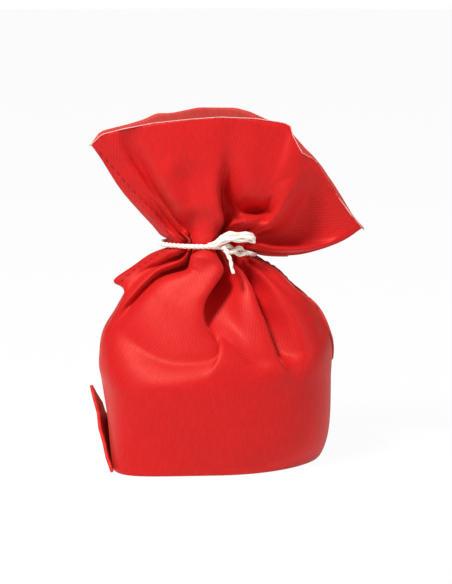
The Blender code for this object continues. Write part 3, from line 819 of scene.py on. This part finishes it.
bm = bmesh.new()
bmesh.ops.create_grid(bm, x_segments=CORNER_STEPS, y_segments=CORNER_STEPS, size=1)
for vert in bm.verts:
    side, share = vert.co.x, (vert.co.y + 1) / 2
    across = np.interp(share, np.linspace(0, 1, len(CORNER_EDGE)), CORNER_EDGE)
    across += CORNER_CURL * (side ** 2 - 1) * (1 - share)
    up = CORNER_GAP + CORNER_HEIGHT * share
    vert.co = Vector((across, side * CORNER_HALF_WIDTH * (1 - share), up)) * MM
bmesh.ops.remove_doubles(bm, verts=bm.verts, dist=0.05 * MM)
corner_map = bm.loops.layers.uv.new("cloth")
for face in bm.faces:
    face.smooth = True
    for loop_here in face.loops:
        loop_here[corner_map].uv = (loop_here.vert.co.y / MM, loop_here.vert.co.z / MM)
corner_mesh = bpy.data.meshes.new("folded_corner")
bm.to_mesh(corner_mesh)
bm.free()
corner = bpy.data.objects.new("folded_corner", corner_mesh)
bpy.context.collection.objects.link(corner)
layers = corner.modifiers.new("two layers", "SOLIDIFY")
layers.thickness, layers.offset = 1.0 * MM, 0
rounded = corner.modifiers.new("soft fold", "BEVEL")
rounded.width, rounded.segments, rounded.limit_method = 0.4 * MM, 2, "ANGLE"
corner_mesh.materials.append(satin_face)
print("folded corner:", len(corner_mesh.polygons), "faces")


# %% [markdown]
# ## The tie
#
# Cotton twine is three yarns twisted together. Each yarn is a tube that winds round the twine's route
# at a fixed distance, and a frame carried along the route keeps the winding even through the bends.
# One tube with a rope pattern would be lighter, but its outline would stay smooth. The short tail that
# hangs down has lost one of its yarns, and gets thinner towards its tip.

# %% Smooth lines and tubes
def smooth_line(route, step):
    """Points at even steps along a smooth curve through the route's points."""
    fine = []
    for i in range(len(route) - 1):
        before, start, end, after = (route[max(i - 1, 0)], route[i], route[i + 1],
                                     route[min(i + 2, len(route) - 1)])
        for t in np.arange(0, 1, 0.1):
            fine.append(0.5 * (2 * start + (end - before) * t
                               + (2 * before - 5 * start + 4 * end - after) * t ** 2
                               + (3 * start - before - 3 * end + after) * t ** 3))
    fine.append(route[-1])
    fine = np.array(fine)
    reached = np.concatenate([[0], np.cumsum(np.linalg.norm(np.diff(fine, axis=0), axis=1))])
    even = np.linspace(0, reached[-1], max(2, round(reached[-1] / step) + 1))
    return [Vector(np.array([np.interp(d, reached, fine[:, k]) for k in range(3)])) for d in even]


def tube_mesh(name, lines, radius, sides=3):
    """Round tubes with closed ends along several lines, as one mesh."""
    curve = bpy.data.curves.new(name, "CURVE")
    curve.dimensions = "3D"
    curve.bevel_depth, curve.bevel_resolution = radius, sides
    curve.use_fill_caps = True
    for line in lines:
        spline = curve.splines.new("POLY")
        spline.points.add(len(line) - 1)
        for point, place in zip(spline.points, line):
            point.co = (*place, 1)
    maker = bpy.data.objects.new(name, curve)
    mesh = bpy.data.meshes.new_from_object(maker)
    bpy.data.objects.remove(maker)
    bpy.data.curves.remove(curve)
    mesh.shade_smooth()
    return mesh


# %% Twisted yarns
YARNS = 3
YARN_RADIUS = TWINE_DIAMETER * 0.27
YARN_OFFSET = TWINE_DIAMETER / 2 - YARN_RADIUS
TWIST_PITCH = 4.2 * MM
ROUTE_STEP = 0.35 * MM
LOOSE_STEPS = 11                # steps at the route's right end, where the twine has come apart
TAIL_SPREAD = 0.4               # how far apart the tail's yarns lie at its tip, for 1 along the rest

twine_line = smooth_line(twine_route, ROUTE_STEP)
tail_length = sum((b - a).length for a, b in zip(left_end, left_end[1:])) + ROUTE_STEP * 4
yarn_lines = [[] for _ in range(YARNS)]
across = twine_line[1].cross(Vector((0, 0, 1))).normalized()
for i, place in enumerate(twine_line[:-LOOSE_STEPS]):
    ahead = (twine_line[min(i + 1, len(twine_line) - 1)] - twine_line[max(i - 1, 0)]).normalized()
    across = (across - ahead * across.dot(ahead)).normalized()
    spread = YARN_OFFSET * np.interp(i * ROUTE_STEP, (0, tail_length), (TAIL_SPREAD, 1))
    for yarn in range(YARNS):
        turn = 2 * math.pi * (i * ROUTE_STEP / TWIST_PITCH + yarn / YARNS)
        around = across * math.cos(turn) + ahead.cross(across) * math.sin(turn)
        if yarn or i * ROUTE_STEP > tail_length:    # the tail has lost one of its yarns
            yarn_lines[yarn].append(place + around * spread)


# %% [markdown]
# At the knot the yarns have come untwisted and lie side by side as one flat white bundle, which curls
# back at its right end. It could be one soft lump, but tubes keep the direction of the fibres, so the
# bundle is a set of them. It runs along a line read from the photograph, and each yarn keeps its own
# place in the bundle's oval section.

# %% The loosened knot
BUNDLE_LINE = [                 # across, up, depth, half height of the bundle (mm)
    (-1.6, 67.5, -7.6, 0.5), (0.6, 67.9, -8.6, 0.8), (2.4, 69.1, -9.6, 1.3), (4.6, 69.9, -10.2, 1.5),
    (7, 69.7, -10.4, 1.25), (9.4, 69.9, -10, 1.35), (11.2, 69.6, -9.2, 1.3), (12, 69, -8.4, 0.7),
]
BUNDLE_YARNS = 11
BUNDLE_DEEP = 0.75              # how deep the bundle is, for its height
BUNDLE_TURN = 1.1               # radians that its yarns turn from one end to the other

bundle_marks = np.array([(*seen_at(*mark[:3]), mark[3]) for mark in BUNDLE_LINE])
bundle_line = smooth_curve(bundle_marks[:, :3])
bundle_half = np.interp(np.linspace(0, 1, len(bundle_line)), np.linspace(0, 1, len(bundle_marks)),
                        bundle_marks[:, 3])
for yarn in range(BUNDLE_YARNS):            # the sines stand in for chance
    turn = 2 * math.pi * yarn / BUNDLE_YARNS * (1 + 0.13 * math.sin(5.0 * yarn))
    reach = 0.55 if yarn % 3 == 0 else 0.9  # every third yarn lies inside
    line = []
    for i, (place, half) in enumerate(zip(bundle_line, bundle_half)):
        drift = turn + BUNDLE_TURN * i / len(bundle_line) + 0.25 * math.sin(0.35 * i + 2.1 * yarn)
        aside = np.array((0, -math.cos(drift) * BUNDLE_DEEP, math.sin(drift)))
        line.append(Vector(place + aside * half * reach) * MM)
    yarn_lines.append(line)
tie = bpy.data.objects.new("cotton_tie", tube_mesh("cotton_tie", yarn_lines, YARN_RADIUS))
bpy.context.collection.objects.link(tie)
print("tie:", len(twine_line), "places,", len(tie.data.polygons), "faces")

# %% Cotton
cotton = bpy.data.materials.new("cotton_twine")     # carded cotton, unbleached: matt, warm white, hairy
cotton.use_nodes = True
cotton_shader = cotton.node_tree.nodes["Principled BSDF"]
cotton_shader.inputs["Roughness"].default_value = 0.9
cotton_shader.inputs["Sheen Weight"].default_value = 0.6
cotton_shader.inputs["Sheen Roughness"].default_value = 0.5
cotton_map = add_node(cotton, "ShaderNodeTexCoord").outputs["Object"]
lint = add_node(cotton, "ShaderNodeTexNoise", Vector=cotton_map, Scale=1 / (0.8 * MM), Detail=4.0)
cotton_tint = add_node(cotton, "ShaderNodeMix", {"data_type": "RGBA"}, i0=lint.outputs["Fac"],
                       i6=colour("#F0E4C8"), i7=colour("#FFFEFA")).outputs[2]
cotton_bump = add_node(cotton, "ShaderNodeBump", Height=lint.outputs["Fac"], Strength=0.5,
                       Distance=0.1 * MM).outputs["Normal"]
cotton.node_tree.links.new(cotton_tint, cotton_shader.inputs["Base Color"])
cotton.node_tree.links.new(cotton_bump, cotton_shader.inputs["Normal"])
tie.data.materials.clear()
tie.data.materials.append(cotton)


# %% [markdown]
# ## The seams' stitches
#
# Each side of the bag is closed by one row of machine stitches, a little in from the fold. A stitch
# goes down into the cloth at both ends and lies on it between, so it is a short tube whose middle is
# lifted higher than its ends.

# %% Stitches
STITCH_LENGTH, STITCH_GAP = 1.7, 0.6        # mm
THREAD_RADIUS = 0.15 * MM
# for each: mm up from the tie, mm round from the seam's fold
SEAM_LINE = [(-22, 3.5), (-16, 4.0), (-3, 5.0), (3, 6.5), (12, 7.0), (20, 5.5), (30, 3.5), (39, 1.2)]


def stitch_row(seam_at, side):
    """Stitches along one seam, on the side of it that the sign gives."""
    ups, rounds = zip(*SEAM_LINE)
    lines = []
    for start in np.arange(ups[0], ups[-1] - STITCH_LENGTH, STITCH_LENGTH + STITCH_GAP):
        if abs(start + STITCH_LENGTH / 2) > 2.5:        # the twine covers the seam here
            lines.append([on_cloth(seam_at + side * np.interp(up, ups, rounds), up, lift)
                          for up, lift in zip(np.linspace(start, start + STITCH_LENGTH, 5),
                                              (-0.1, 0.08, 0.12, 0.08, -0.1))])
    return lines


stitch_lines = stitch_row(0, 1) + stitch_row(CLOTH_ROUND / 2, 1)
stitches = bpy.data.objects.new("seam_stitches", tube_mesh("seam_stitches", stitch_lines, THREAD_RADIUS, 1))
bpy.context.collection.objects.link(stitches)
thread = bpy.data.materials.new("polyester_thread_painted_shade")     # dyed to match the satin; its colour is made darker with painted shade, for the seam's hollow
thread.use_nodes = True
thread_shader = thread.node_tree.nodes["Principled BSDF"]
# painted shade: the thread's red is darker than the satin's, standing in for the shade in the seam's hollow
thread_shader.inputs["Base Color"].default_value = colour("#8E1216")
thread_shader.inputs["Roughness"].default_value = 0.5
stitches.data.materials.clear()
stitches.data.materials.append(thread)
print("stitches:", len(stitch_lines))


# %% [markdown]
# ## The cut edge's fibres
#
# The mouth is cut, not hemmed, and the yarns' pale ends show as a fine line along the edge. The cloth's
# own cut side is too thin to be seen from the front, so the fibre ends are a thin bead along the last
# row, which sways a little in and out as a cut edge does.

# %% Fibres along the cut edge
FIBRE_RADIUS = 0.15 * MM
rim_line = [on_cloth(round_mm, (ROWS - 1) * ROW_STEP - CLOTH_BELOW, 0.05 * math.sin(3.1 * round_mm))
            for round_mm in np.arange(0, CLOTH_ROUND + 0.5, 0.5)]
edge_fibres = bpy.data.objects.new("cut_edge_fibres",
                                   tube_mesh("cut_edge_fibres", [rim_line], FIBRE_RADIUS, 1))
bpy.context.collection.objects.link(edge_fibres)
edge_fibres.data.materials.clear()
edge_fibres.data.materials.append(raw_edge)
print("cut edge:", len(rim_line), "places")


# %% [markdown]
# ## Floor, light and finish
#
# The floor is pale and catches the soft shadow. To the camera and in reflections it is lifted to
# white, as paper is in a product picture, and the light that falls on the pouch isn't raised for it.

# %% Floor and backdrop
FLOOR_RADIUS = 4
PAPER_LIFT = 0.96                # how much of what the camera sees of the paper is plain white
bm = bmesh.new()
bmesh.ops.create_circle(bm, cap_ends=True, segments=96, radius=FLOOR_RADIUS)
floor_mesh = bpy.data.meshes.new("floor")
bm.to_mesh(floor_mesh)
bm.free()
floor = bpy.data.objects.new("floor", floor_mesh)
bpy.context.collection.objects.link(floor)
paper = bpy.data.materials.new("white_paper")       # smooth matt paper, lit a little from behind
paper.use_nodes = True
paper_shader = paper.node_tree.nodes["Principled BSDF"]
paper_shader.inputs["Base Color"].default_value = colour("#FFFFFF")
paper_shader.inputs["Roughness"].default_value = 0.9
ray = add_node(paper, "ShaderNodeLightPath")
seen = add_node(paper, "ShaderNodeMath", {"operation": "MAXIMUM"},
                i0=ray.outputs["Is Camera Ray"], i1=ray.outputs["Is Glossy Ray"])
lift = add_node(paper, "ShaderNodeMath", {"operation": "MULTIPLY"}, i0=seen.outputs["Value"],
                i1=PAPER_LIFT)
white = add_node(paper, "ShaderNodeEmission", Color=(1, 1, 1, 1), Strength=1)
lifted = add_node(paper, "ShaderNodeMixShader", i0=lift.outputs["Value"], i1=paper_shader.outputs["BSDF"],
                  i2=white.outputs["Emission"])
paper_out = paper.node_tree.nodes["Material Output"]
paper.node_tree.links.new(lifted.outputs["Shader"], paper_out.inputs["Surface"])
floor_mesh.materials.append(paper)

# %% Lights and world
def softbox(name, place, size, power):
    """A square area lamp that faces the pouch."""
    lamp = bpy.data.objects.new(name, bpy.data.lights.new(name, "AREA"))
    bpy.context.collection.objects.link(lamp)
    lamp.data.size, lamp.data.energy = size, power
    lamp.location = place
    lamp.rotation_euler = (SIGHT_CENTRE - lamp.location).to_track_quat("-Z", "Y").to_euler()
    return lamp


softbox("key_light", Vector((-0.36, -0.4, 0.78)), 0.2, 9.3)
softbox("fill_light", Vector((0.9, -0.4, 0.55)), 0.5, 3)

world = bpy.data.worlds.new("white_studio")
bpy.context.scene.world = world
world.use_nodes = True
backdrop = world.node_tree.nodes["Background"]
backdrop.inputs["Color"].default_value = (1, 1, 1, 1)
world_seen = world.node_tree.nodes.new("ShaderNodeLightPath")
world_strength = world.node_tree.nodes.new("ShaderNodeMapRange")
world_strength.inputs["To Min"].default_value = 0.1
world_strength.inputs["To Max"].default_value = 1.0
world.node_tree.links.new(world_seen.outputs["Is Camera Ray"], world_strength.inputs["Value"])
world.node_tree.links.new(world_strength.outputs["Result"], backdrop.inputs["Strength"])
bpy.context.scene.view_settings.view_transform = "Standard"

# %% Join the frame
for piece, node, slot in ((pouch, "pouch", "satin"), (corner, "pouch", "satin"),
                          (stitches, "pouch", "satin"), (edge_fibres, "pouch", "satin"),
                          (tie, "tie_cord", "twine")):
    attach(piece, "root")
    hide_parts(node)
